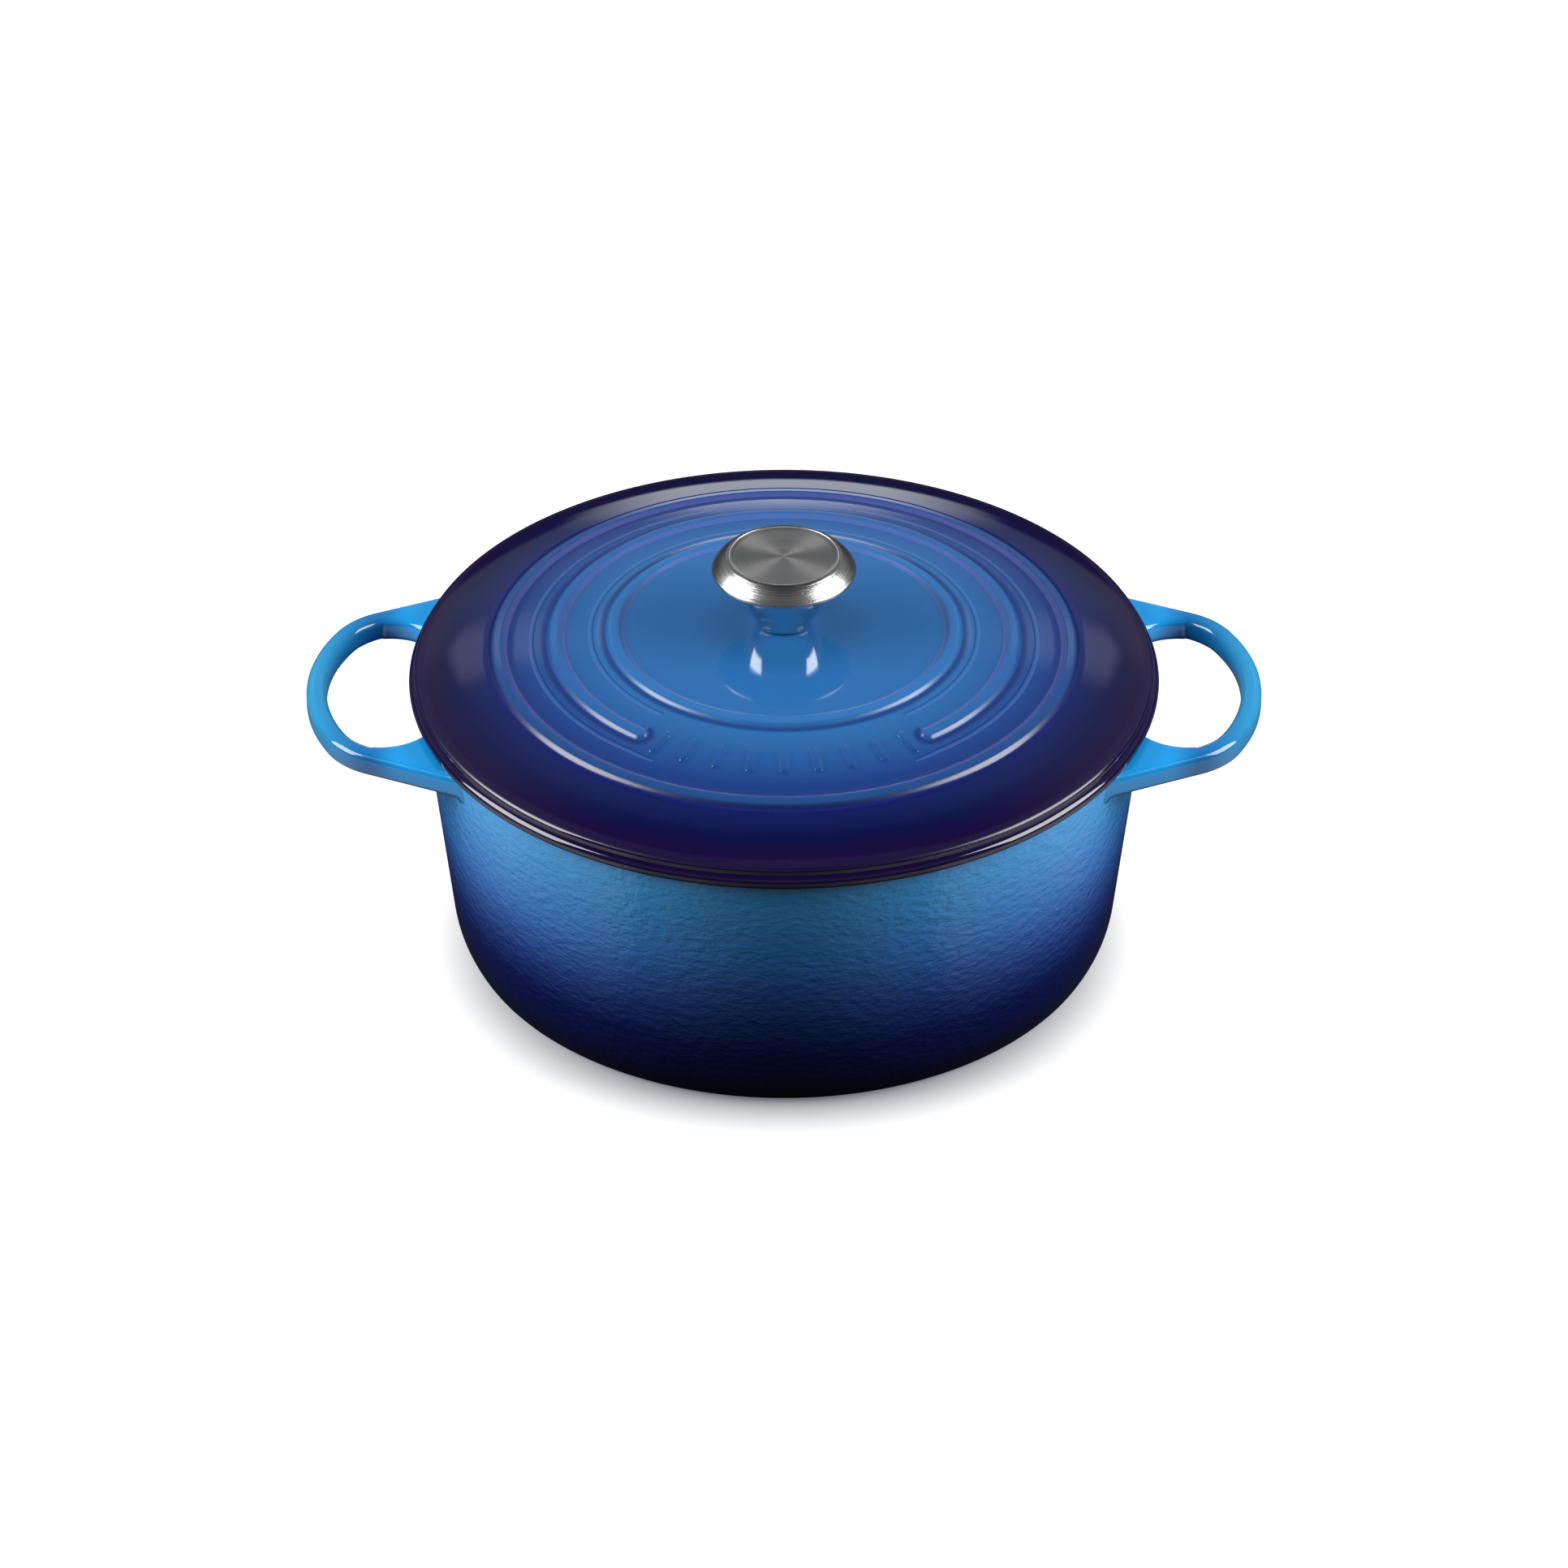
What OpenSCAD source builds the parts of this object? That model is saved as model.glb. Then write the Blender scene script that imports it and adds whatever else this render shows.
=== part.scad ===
// Round enamelled cast iron dutch oven with a lift-off lid and a steel knob.
// Origin: centre of the flat underside of the pot. +Z is up, the loop handles
// lie along X, and the front of the lid faces -Y. Millimetres and degrees.

/* [Pot] */
// Height of the pot, from its base to the flat rim that the lid sits on
pot_h = 112; // [95:1:135]
// Outer radius of the pot at its rim
rim_r = 141.2; // [120:0.1:165]
// Lean of the wall from the vertical, wider at the top
wall_taper = 6.4; // [3:0.1:9]
// Thickness of the wall
wall_t = 3.8; // [3.2:0.1:5]
// Thickness of the floor
floor_t = 4.5; // [3.5:0.1:6]
// Radius of the large outer bend between the wall and the heel
corner_r = 33; // [24:1:38]
// Radius of the small outer bend where the heel meets the flat base
heel_r = 8; // [5:0.5:12]
// Angle below the horizontal at which the large bend hands over to the heel
heel_angle = 29; // [24:1:40]
// Radius of the bend between the floor and the wall inside the pot
floor_bend_r = 18; // [14:1:24]

/* [Loop handles] */
// Distance that a handle stands out from the rim of the pot
handle_out = 44.4; // [38:0.1:56]
// Width of the handle's band, seen from above
band_w = 8; // [7:0.5:10]
// Height of the handle's band
band_t = 10; // [8:0.5:12]
// Rounding of the band's edges
band_edge_r = 3; // [1.5:0.1:3.4]
// Gap between the top of the band and the plane of the rim
handle_drop = 1; // [0.5:0.1:6]
// Radius of the band's middle line across the tip
tip_bend_r = 75; // [60:1:90]
// Radius of the band's middle line at each corner of the loop
loop_corner_r = 27; // [22:1:32]
// Angle either side of the tip at which the corner bend begins
tip_angle = 29; // [24:1:34]
// Angle at which the corner bend ends and the straight leg begins
leg_angle = 66; // [58:1:74]
// Radius of the round end of the finger gap beside each leg
gap_end_r = 20; // [16:1:22]
// Depth of the web at each root below the faces of the band
web_inset = 0.8; // [0.5:0.1:1.2]

/* [Lid] */
// Distance that the edge of the lid stands out past the rim of the pot
lid_overhang = 4.3; // [3:0.1:6]
// Height of the top of the dome above the rim of the pot
dome_h = 27; // [24:0.5:34]
// Radius of the dome's curve
dome_r = 600; // [560:10:800]
// Radius of the tighter curve that rounds the dome down to the edge
shoulder_r = 100; // [80:5:140]
// Distance from the edge at which the tighter curve begins
shoulder_w = 20.5; // [16:0.5:26]
// Radius of the bead around the edge
lip_r = 2.8; // [2:0.1:3.4]
// Thickness of the dome
lid_t = 4; // [3.6:0.1:6]
// Depth of the ring underneath that keeps the lid on the pot
spigot_h = 4; // [3:0.5:8]
// Thickness of that ring
spigot_t = 3.4; // [3:0.1:6]
// Gap all round between that ring and the inside of the pot
spigot_gap = 1.4; // [0.8:0.1:3]

/* [Ribs and motif] */
// Distance from the edge of the lid to the middle of the inner rib
inner_rib_inset = 79.6; // [75:0.1:84]
// Distance from the edge of the lid to the middle of the middle rib
middle_rib_inset = 56.7; // [53:0.1:61]
// Distance from the edge of the lid to the middle of the outer rib
outer_rib_inset = 34.4; // [30:0.1:38]
// Width of a rib
rib_w = 7.6; // [6:0.2:9]
// Height of a rib above the dome
rib_h = 1.5; // [1:0.1:2]
// Half of the angle that the middle rib leaves open at the front
rib_gap = 38; // [34:1:50]
// Number of raised dashes in the opening of the middle rib
dash_count = 9; // [3:2:9]
// Angle between two dashes
dash_pitch = 8; // [7:0.5:8]
// Length of a dash, outwards from the middle
dash_l = 14; // [8:0.5:16]
// Width of a dash
dash_w = 4.4; // [3:0.2:6]
// Height of a dash above the dome
dash_h = 0.9; // [0.6:0.1:1.4]

/* [Knob] */
// Height of the knob above the lid
knob_h = 30.2; // [26:0.2:36]
// Radius of the knob's widest edge
knob_r = 27.9; // [25:0.1:32]
// Radius of the sunken disc on top of the knob
disc_r = 21.2; // [18:0.1:22]
// Depth of the sunken disc
disc_drop = 0.5; // [0.3:0.1:0.9]
// Height of the bevel between the disc and the widest edge
bevel_h = 6.4; // [5:0.2:8]
// Rounding of the widest edge
knob_edge_r = 1.2; // [0.8:0.1:1.6]
// Radius of the neck at the top
neck_top_r = 17; // [15:0.2:19]
// Radius of the neck just above the rounding at its foot
neck_foot_r = 11.3; // [10:0.1:13]
// Rounding of the neck's foot
neck_edge_r = 2.3; // [1.5:0.1:3]
// Height of the neck
neck_h = 19.3; // [17:0.1:21]
// Thickness of the knob's steel
steel_t = 1.5; // [1:0.1:2]

/* [Fastening] */
// Radius of the screw's shank
screw_r = 3; // [2.5:0.5:4]
// Radius of the screw's head
screw_head_r = 5.8; // [5:0.1:7]
// Height of the screw's head
screw_head_h = 3.2; // [2.4:0.1:4]
// Radius of the washer
washer_r = 8; // [7:0.1:10]
// Thickness of the washer
washer_t = 1.2; // [0.8:0.1:2]
// Radius of the threaded bush in the neck
bush_r = 5; // [4.5:0.1:6]
// Height of the threaded bush
bush_h = 9; // [6:0.5:11]
// Radial clearance of the washer and of the bush around the shank
shank_gap = 0.08; // [0.05:0.01:0.1]
// Radial clearance of the holes in the lid and in the neck around the shank
hole_gap = 0.3; // [0.2:0.1:0.6]

/* [Hidden] */
$fn = 120;
dome_fn = 1440;
cut = 1;

azure = [0.12, 0.45, 0.74];
navy = [0.09, 0.13, 0.40];
brushed_steel = [0.58, 0.57, 0.56];
polished_steel = [0.74, 0.75, 0.77];
brass = [0.78, 0.66, 0.38];

lid_r = rim_r + lid_overhang;
handle_reach = rim_r + handle_out;

// Pot: centres of the two outer bends and of the bend inside
lean = tan(wall_taper);
corner_z = heel_r + (corner_r - heel_r) * sin(heel_angle);
corner_x = rim_r - lean * (pot_h - corner_z) - corner_r / cos(wall_taper);
heel_x = corner_x + (corner_r - heel_r) * cos(heel_angle);
mouth_r = rim_r - wall_t / cos(wall_taper);
bend_z = floor_t + floor_bend_r;
bend_x = mouth_r - lean * (pot_h - bend_z) - floor_bend_r / cos(wall_taper);

// Handles: centres of the tip bend and of the corner bend, and the leg's start
band_z = pot_h - handle_drop - band_t / 2;
tip_x = handle_reach - band_w / 2 - tip_bend_r;
loop_corner = [
    tip_x + (tip_bend_r - loop_corner_r) * cos(tip_angle),
    (tip_bend_r - loop_corner_r) * sin(tip_angle)
];
leg_start = loop_corner + loop_corner_r * [cos(leg_angle), sin(leg_angle)];
// A leg runs on inside the wall, where the hollow of the pot trims it
leg_run_in = 36;
leg_l = leg_start[0] - rim_r + leg_run_in;
// Each stretch of band is a hair thicker than the one before, and covers its end
step_up = 0.05;
overlap = 0.8;
// The gap's round end, drawn back towards the pot and off the band's inner face
gap_back = 4.5;
gap_step = 0.4;
gap_end_x = leg_start[0] - gap_back;
gap_end_y = loop_corner[1] + (loop_corner_r - band_w / 2) * sin(leg_angle) - gap_end_r - gap_step;
// The web's outer corner lies under the leg, and its inner end inside the wall
web_lap = 2;
web_run_in = 12;

// Lid: the dome's centre, and the centre of the tighter curve near its edge
dome_top = pot_h + dome_h;
dome_centre_z = dome_top - dome_r;
shoulder_at = lid_r - shoulder_w;
shoulder_x = shoulder_at * (1 - shoulder_r / dome_r);
shoulder_z = dome_centre_z + (dome_r - shoulder_r) * sqrt(1 - pow(shoulder_at / dome_r, 2));
// The tighter curve ends over the bead, this far in from the edge
edge_inset = 2.2;
edge_x = lid_r - edge_inset;
spigot_r = mouth_r - spigot_gap;
spigot_in = spigot_r - spigot_t;
rib_radii = [lid_r - inner_rib_inset, lid_r - middle_rib_inset, lid_r - outer_rib_inset];
rib_arc_r = (pow(rib_w / 2, 2) + pow(rib_h, 2)) / (2 * rib_h);
rib_root = 1.5;
// The middle rib's rounded ends stand this much higher than the rib
end_lift = 0.04;

// Middle of the lid: flat pads that the knob and the washer sit against
pad_r = 13;
pad_z = dome_z(pad_r);
boss_r = 11;
boss_drop = 0.4;
boss_z = dome_centre_z + sqrt(pow(dome_r - lid_t, 2) - pow(boss_r, 2)) - boss_drop;

// Knob: heights of its parts
knob_top = pad_z + knob_h;
knob_edge_z = knob_top - bevel_h;
neck_top = pad_z + neck_h;
neck_floor_t = 3;
neck_floor = pad_z + neck_floor_t;
bush_top = neck_floor + bush_h;
// Flat land around the disc, and the fold of the steel inside the widest edge
disc_land = 0.7;
fold_in = 2.2 * steel_t;
fold_drop = 0.2;
// Width of the slot in the screw's head, and the screw's end past the bush
slot_w = 1.4;
screw_end = 1;

// Height of the dome's surface at a distance from the middle
function dome_z(r) = dome_centre_z + sqrt(pow(dome_r, 2) - pow(r, 2));

// The pot as a solid of revolution, before it is hollowed
module pot_outline() {
    polygon([
        [0, 0],
        [heel_x, 0],
        [heel_x + heel_r * cos(heel_angle), heel_r * (1 - sin(heel_angle))],
        [corner_x + corner_r * cos(wall_taper), corner_z - corner_r * sin(wall_taper)],
        [rim_r, pot_h],
        [0, pot_h]
    ]);
    intersection() {
        translate([corner_x, corner_z]) circle(r = corner_r);
        polygon([
            [corner_x, corner_z],
            [corner_x + 2 * corner_r * cos(heel_angle), corner_z - 2 * corner_r * sin(heel_angle)],
            [corner_x + 2 * corner_r * cos(wall_taper), corner_z - 2 * corner_r * sin(wall_taper)]
        ]);
    }
    translate([heel_x, heel_r]) circle(r = heel_r);
}

// The space inside the pot
module cavity_outline() {
    polygon([
        [0, floor_t],
        [bend_x, floor_t],
        [
            bend_x + floor_bend_r * cos(wall_taper),
            bend_z - floor_bend_r * sin(wall_taper)
        ],
        [mouth_r + lean * cut, pot_h + cut],
        [0, pot_h + cut]
    ]);
    translate([bend_x, bend_z]) circle(r = floor_bend_r);
}

// Section through the band of a handle, centred, with an allowance all round
module band_section(extra = 0) {
    w = band_w + 2 * extra;
    t = band_t + 2 * extra;
    square([w - 2 * band_edge_r, t], center = true);
    square([w, t - 2 * band_edge_r], center = true);
    for (x = [-1, 1], y = [-1, 1])
        translate([x * (w / 2 - band_edge_r), y * (t / 2 - band_edge_r)])
            circle(r = band_edge_r);
}

// A bend in the band, around a centre, from one angle to another
module band_bend(centre, radius, from, to, extra = 0) {
    translate([centre[0], centre[1], band_z])
        rotate([0, 0, from])
            rotate_extrude(angle = to - from)
                translate([radius, 0]) band_section(extra);
}

// Half of a handle past the tip: corner bend, leg and the web at its root
module handle_half() {
    corner_start = tip_angle - overlap / loop_corner_r * 180 / PI;
    band_bend(loop_corner, loop_corner_r, corner_start, leg_angle, step_up);
    translate([leg_start[0], leg_start[1], band_z])
        rotate([0, 0, leg_angle])
            rotate([90, 0, 180])
                translate([0, 0, -overlap])
                    linear_extrude(height = leg_l) band_section(2 * step_up);
    translate([0, 0, band_z - band_t / 2 + web_inset])
        linear_extrude(height = band_t - 2 * web_inset)
            difference() {
                polygon([
                    [gap_end_x, gap_end_y + gap_end_r - web_lap],
                    leg_start,
                    leg_start + leg_l * [-sin(leg_angle), cos(leg_angle)],
                    [mouth_r - web_run_in, gap_end_y],
                    [gap_end_x, gap_end_y]
                ]);
                translate([gap_end_x, gap_end_y]) circle(r = gap_end_r);
            }
}

module handle() {
    band_bend([tip_x, 0], tip_bend_r, -tip_angle, tip_angle);
    handle_half();
    mirror([0, 1, 0]) handle_half();
}

module pot() {
    color(azure)
        difference() {
            union() {
                rotate_extrude() pot_outline();
                handle();
                mirror([1, 0, 0]) handle();
            }
            rotate_extrude() cavity_outline();
        }
}

// Upper side of the lid: dome, tighter curve near the edge, bead and ring
module lid_outline() {
    intersection() {
        translate([0, dome_centre_z]) circle(r = dome_r, $fn = dome_fn);
        translate([0, pot_h]) square([shoulder_at, pad_z - pot_h]);
    }
    intersection() {
        translate([shoulder_x, shoulder_z]) circle(r = shoulder_r, $fn = dome_fn);
        translate([0, pot_h]) square([edge_x, pad_z - pot_h]);
    }
    translate([lid_r - lip_r, pot_h + lip_r]) circle(r = lip_r);
    translate([spigot_r, pot_h]) square([lid_r - lip_r - spigot_r, 2 * lip_r]);
    translate([spigot_in, pot_h - spigot_h]) square([spigot_t, spigot_h + cut]);
}

// The hollow under the dome, around the boss that the screw passes through
module hollow_outline() {
    difference() {
        intersection() {
            translate([0, dome_centre_z]) circle(r = dome_r - lid_t, $fn = dome_fn);
            translate([0, pot_h - cut]) square([spigot_in, dome_h]);
        }
        translate([0, boss_z]) square([boss_r, dome_h]);
    }
}

// Section through a rib at its place on the dome, about its own middle line
module rib_section(radius) {
    translate([0, dome_z(radius) + rib_h - rib_arc_r])
        intersection() {
            circle(r = rib_arc_r);
            translate([-rib_w, rib_arc_r - rib_h - rib_root]) square([2 * rib_w, 2 * rib_root + rib_h]);
        }
}

// The middle rib, open at the front, with rounded ends
module open_rib(radius) {
    rotate([0, 0, rib_gap - 90])
        rotate_extrude(angle = 360 - 2 * rib_gap)
            translate([radius, 0]) rib_section(radius);
    for (side = [-1, 1])
        rotate([0, 0, side * rib_gap - 90])
            translate([radius, 0, end_lift])
                rotate_extrude()
                    intersection() {
                        rib_section(radius);
                        square([rib_w, dome_top + rib_h]);
                    }
}

// A raised dash that lies along the dome's slope, pointing outwards
module dash(radius) {
    translate([radius, 0, dome_z(radius)])
        rotate([0, asin(radius / dome_r), 0])
            translate([0, 0, -rib_root])
                linear_extrude(height = rib_root + dash_h) {
                    square([dash_l - dash_w, dash_w], center = true);
                    for (side = [-1, 1])
                        translate([side * (dash_l - dash_w) / 2, 0]) circle(d = dash_w);
                }
}

module lid() {
    color(navy)
        difference() {
            union() {
                rotate_extrude()
                    difference() {
                        union() {
                            lid_outline();
                            for (i = [0, 2])
                                translate([rib_radii[i], 0]) rib_section(rib_radii[i]);
                        }
                        hollow_outline();
                    }
                open_rib(rib_radii[1]);
                for (i = [0:dash_count - 1])
                    rotate([0, 0, (i - (dash_count - 1) / 2) * dash_pitch - 90])
                        dash(rib_radii[1]);
            }
            translate([0, 0, boss_z - cut])
                cylinder(r = screw_r + hole_gap, h = pad_z - boss_z + 2 * cut);
        }
}

// Pressed top of the knob: sunken disc, bevel, round edge and turned-in underside
module knob_cap() {
    color(brushed_steel)
        rotate_extrude()
            difference() {
                union() {
                    polygon([
                        [0, neck_top],
                        [neck_top_r, neck_top],
                        [knob_r - knob_edge_r, knob_edge_z - knob_edge_r],
                        [knob_r - knob_edge_r * (1 - cos(45)), knob_edge_z + knob_edge_r * sin(45)],
                        [disc_r + disc_land, knob_top],
                        [disc_r, knob_top],
                        [disc_r, knob_top - disc_drop],
                        [0, knob_top - disc_drop]
                    ]);
                    translate([knob_r - knob_edge_r, knob_edge_z]) circle(r = knob_edge_r);
                }
                polygon([
                    [0, neck_top - cut],
                    [neck_top_r - steel_t, neck_top - cut],
                    [neck_top_r - steel_t, neck_top + steel_t],
                    [knob_r - fold_in, knob_edge_z - fold_drop],
                    [disc_r - steel_t, knob_top - disc_drop - steel_t],
                    [0, knob_top - disc_drop - steel_t]
                ]);
            }
}

// Conical neck, a cup with a thick floor that the screw passes through
module knob_neck() {
    color(polished_steel)
        rotate_extrude()
            difference() {
                union() {
                    polygon([
                        [screw_r + hole_gap, pad_z],
                        [neck_foot_r - neck_edge_r, pad_z],
                        [neck_foot_r, pad_z + neck_edge_r],
                        [neck_top_r, neck_top],
                        [screw_r + hole_gap, neck_top]
                    ]);
                    translate([neck_foot_r - neck_edge_r, pad_z + neck_edge_r])
                        circle(r = neck_edge_r);
                }
                polygon([
                    [0, neck_floor],
                    [neck_foot_r - steel_t, neck_floor],
                    [neck_top_r - steel_t, neck_top + cut],
                    [0, neck_top + cut]
                ]);
            }
}

module knob_bush() {
    color(brass)
        translate([0, 0, neck_floor])
            difference() {
                cylinder(r = bush_r, h = bush_h);
                translate([0, 0, -cut])
                    cylinder(r = screw_r + shank_gap, h = bush_h + 2 * cut);
            }
}

// Pan head screw, put in from under the lid, with a slot across its head
module knob_screw() {
    head_top = boss_z - washer_t;
    color(polished_steel)
        difference() {
            union() {
                translate([0, 0, head_top - screw_head_h])
                    cylinder(r = screw_head_r, h = screw_head_h);
                translate([0, 0, head_top])
                    cylinder(r = screw_r, h = bush_top - head_top + screw_end);
            }
            translate([0, 0, head_top - screw_head_h])
                cube([2 * screw_head_r + cut, slot_w, screw_head_h], center = true);
        }
}

module screw_washer() {
    color(polished_steel)
        translate([0, 0, boss_z - washer_t])
            difference() {
                cylinder(r = washer_r, h = washer_t);
                translate([0, 0, -cut])
                    cylinder(r = screw_r + shank_gap, h = washer_t + 2 * cut);
            }
}

pot();
lid();
knob_cap();
knob_neck();
knob_bush();
knob_screw();
screw_washer();
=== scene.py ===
import math

import bmesh
import bpy
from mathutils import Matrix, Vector


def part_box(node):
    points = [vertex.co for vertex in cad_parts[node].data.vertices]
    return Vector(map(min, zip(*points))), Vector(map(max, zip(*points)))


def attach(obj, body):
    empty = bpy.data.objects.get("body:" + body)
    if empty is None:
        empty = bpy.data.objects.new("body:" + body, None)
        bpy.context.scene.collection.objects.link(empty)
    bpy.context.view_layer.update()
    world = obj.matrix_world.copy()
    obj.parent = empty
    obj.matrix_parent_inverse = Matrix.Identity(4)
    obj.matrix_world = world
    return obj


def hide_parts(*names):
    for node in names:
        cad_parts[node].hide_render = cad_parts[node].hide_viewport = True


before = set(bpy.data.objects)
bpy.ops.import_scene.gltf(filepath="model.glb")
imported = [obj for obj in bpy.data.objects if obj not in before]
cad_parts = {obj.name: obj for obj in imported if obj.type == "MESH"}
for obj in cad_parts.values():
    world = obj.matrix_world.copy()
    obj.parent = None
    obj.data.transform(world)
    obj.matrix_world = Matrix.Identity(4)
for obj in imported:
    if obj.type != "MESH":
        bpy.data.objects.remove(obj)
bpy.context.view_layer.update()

# Camera: level with the horizon, looking down on the pot from the front, from
# three metres away through a long lens, so that the near and far rim are almost
# the same size.
look_at = Vector((0, 0, 0.07))
camera_reach = 3.0
camera_height_angle = math.radians(33.68)
camera_pitch = math.radians(33.789)
bpy.ops.object.camera_add(
    location=look_at
    + camera_reach * Vector((0, -math.cos(camera_height_angle), math.sin(camera_height_angle))),
    rotation=(math.pi / 2 - camera_pitch, 0, 0),
)
camera = bpy.context.object
camera.name = "camera"
camera.data.lens = 175.96
camera.data.sensor_width = 36
camera.data.clip_end = 20
bpy.context.scene.camera = camera


# Floor and backdrop: one seamless sheet of pale paper, flat under the pot and
# curved up behind it.
class Graph:
    """The nodes of a new material, or of an owner such as the world. node() adds
    one, and returns its output as a Value."""

    def __init__(self, name, owner=None):
        self.owner = owner or bpy.data.materials.new(name)
        self.owner.use_nodes = True
        self.tree = self.owner.node_tree
        self.tree.nodes.clear()

    def node(self, kind, inputs=None, output=0, stops=None, **settings):
        made = self.tree.nodes.new(kind)
        for key, value in settings.items():
            setattr(made, key, value)
        if stops:
            ramp = made.color_ramp.elements
            while len(ramp) > 1:
                ramp.remove(ramp[-1])
            ramp[0].position, ramp[0].color = stops[0][0], colour4(stops[0][1])
            for place, colour in stops[1:]:
                ramp.new(place).color = colour4(colour)
        for key, value in (inputs or {}).items():
            if isinstance(value, Value):
                self.tree.links.new(value.socket, made.inputs[key])
            else:
                made.inputs[key].default_value = value
        return Value(self, made.outputs[output]) if made.outputs else made

    def coordinates(self):
        return self.node("ShaderNodeTexCoord", output="Object")

    def radius(self, place):
        """How far a place is from the upright axis of the pot."""
        across, ahead, _ = place.parts()
        return (across * across + ahead * ahead).root()

    def mix(self, amount, first, second, blend="MIX"):
        return self.node(
            "ShaderNodeMix",
            {0: amount, 6: colour4(first), 7: colour4(second)},
            output=2,
            data_type="RGBA",
            blend_type=blend,
        )

    def finish(self, **sockets):
        """Ends a material. Base_Color is the socket Base Color, and so on."""
        named = {key.replace("_", " "): value for key, value in sockets.items()}
        named["Base Color"] = colour4(named["Base Color"])
        shader = self.node("ShaderNodeBsdfPrincipled", named)
        self.node("ShaderNodeOutputMaterial", {"Surface": shader})
        return self.owner


class Value:
    """A socket that takes part in sums. Each sum adds a Math node."""

    def __init__(self, graph, socket):
        self.graph, self.socket = graph, socket

    def math(self, operation, first, second=None, third=None):
        given = {i: v for i, v in enumerate((first, second, third)) if v is not None}
        return self.graph.node("ShaderNodeMath", given, operation=operation)

    def __add__(self, other):
        return self.math("ADD", self, other)

    __radd__ = __add__

    def __sub__(self, other):
        return self.math("SUBTRACT", self, other)

    def __neg__(self):
        return self.math("MULTIPLY", self, -1)

    def __rsub__(self, other):
        return self.math("SUBTRACT", other, self)

    def __mul__(self, other):
        return self.math("MULTIPLY", self, other)

    __rmul__ = __mul__

    def __truediv__(self, other):
        return self.math("DIVIDE", self, other)

    def root(self):
        return self.math("SQRT", self)

    def size(self):
        return self.math("ABSOLUTE", self)

    def held(self, low=0.0, high=1.0):
        return self.math("MINIMUM", self.math("MAXIMUM", self, low), high)

    def step(self, low, high):
        """0 below low, 1 above high, smooth between."""
        return self.graph.node(
            "ShaderNodeMapRange",
            {0: self, 1: low, 2: high, 3: 0.0, 4: 1.0},
            interpolation_type="SMOOTHSTEP",
        )

    def hump(self, low, rise, fall, high):
        """0 below low, 1 from rise to fall, 0 above high, smooth between."""
        return self.step(low, rise) * (1 - self.step(fall, high))

    def parts(self):
        split = self.graph.node("ShaderNodeSeparateXYZ", {0: self}).socket.node
        return [Value(self.graph, out) for out in split.outputs]

    def bearing(self, ahead):
        """Degrees round from the front, to either side, for a place that is self
        across and ahead away from the front."""
        return self.math("ARCTAN2", self.size(), -ahead) * (180 / math.pi)


def colour4(value):
    if isinstance(value, Value) or len(value) == 4:
        return value
    return (*value, 1)


def wipe_selection():
    if bpy.context.mode != "OBJECT":
        bpy.ops.object.mode_set(mode="OBJECT")
    bpy.ops.object.select_all(action="DESELECT")


paper_half = 4.0
paper_bend = 1.2
wipe_selection()
bpy.ops.mesh.primitive_plane_add(size=2 * paper_half)
paper = bpy.context.object
paper.name = "paper"
bpy.ops.object.mode_set(mode="EDIT")
bpy.ops.mesh.select_all(action="DESELECT")
bpy.ops.object.mode_set(mode="OBJECT")
for edge in paper.data.edges:
    edge.select = all(paper.data.vertices[i].co.y > 0 for i in edge.vertices)
bpy.ops.object.mode_set(mode="EDIT")
bpy.ops.mesh.spin(
    steps=24,
    angle=math.pi / 2,
    center=(0, paper_half, paper_bend),
    axis=(1, 0, 0),
)
bpy.ops.mesh.extrude_region_move(TRANSFORM_OT_translate={"value": (0, 0, 3)})
bpy.ops.object.mode_set(mode="OBJECT")
bpy.ops.object.shade_smooth()
paper.visible_glossy = False
paper.visible_diffuse = False

# The paper glows evenly for the room's light. The glow is painted dark close round
# the pot, as a painted contact shadow.
painted_shadow_shift = 0.012
painted_shadow_from, painted_shadow_to = 0.100, 0.150
sheet = Graph("white_paper_painted_shadow")
moved = sheet.node(
    "ShaderNodeMapping", {"Vector": sheet.coordinates(), "Location": (0, painted_shadow_shift, 0)}
)
clear = sheet.radius(moved).step(painted_shadow_from, painted_shadow_to)
paper.data.materials.append(
    sheet.finish(
        Base_Color=(0.22, 0.22, 0.225),
        Roughness=0.9,
        Emission_Color=sheet.mix(clear, (0.02, 0.03, 0.06), (1, 1, 1)),
        Emission_Strength=0.98,
    )
)

# Studio: a wide lamp on each side, a weaker one overhead, a dim sky, and a glowing
# sheet on the paper that only the glaze reflects: a painted reflection of the paper,
# painted dark where it meets the pot.


def lamp(name, place, size, power):
    wipe_selection()
    bpy.ops.object.light_add(type="AREA", location=place)
    made = bpy.context.object
    made.name = name
    made.rotation_euler = (lamp_aim - Vector(place)).to_track_quat("-Z", "Y").to_euler()
    made.data.shape = "RECTANGLE"
    made.data.size, made.data.size_y = size
    made.data.energy = power
    return made


lamp_aim = Vector((0, 0, 0.06))
side_watts, top_watts = 62, 26
for side, name in ((-1, "left_lamp"), (1, "right_lamp")):
    lamp(name, (side * 1.7, -0.2, 1.0), (1.3, 1.3), side_watts)
lamp("top_lamp", (0, 0.5, 2.4), (1.8, 1.4), top_watts).visible_glossy = False

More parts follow.
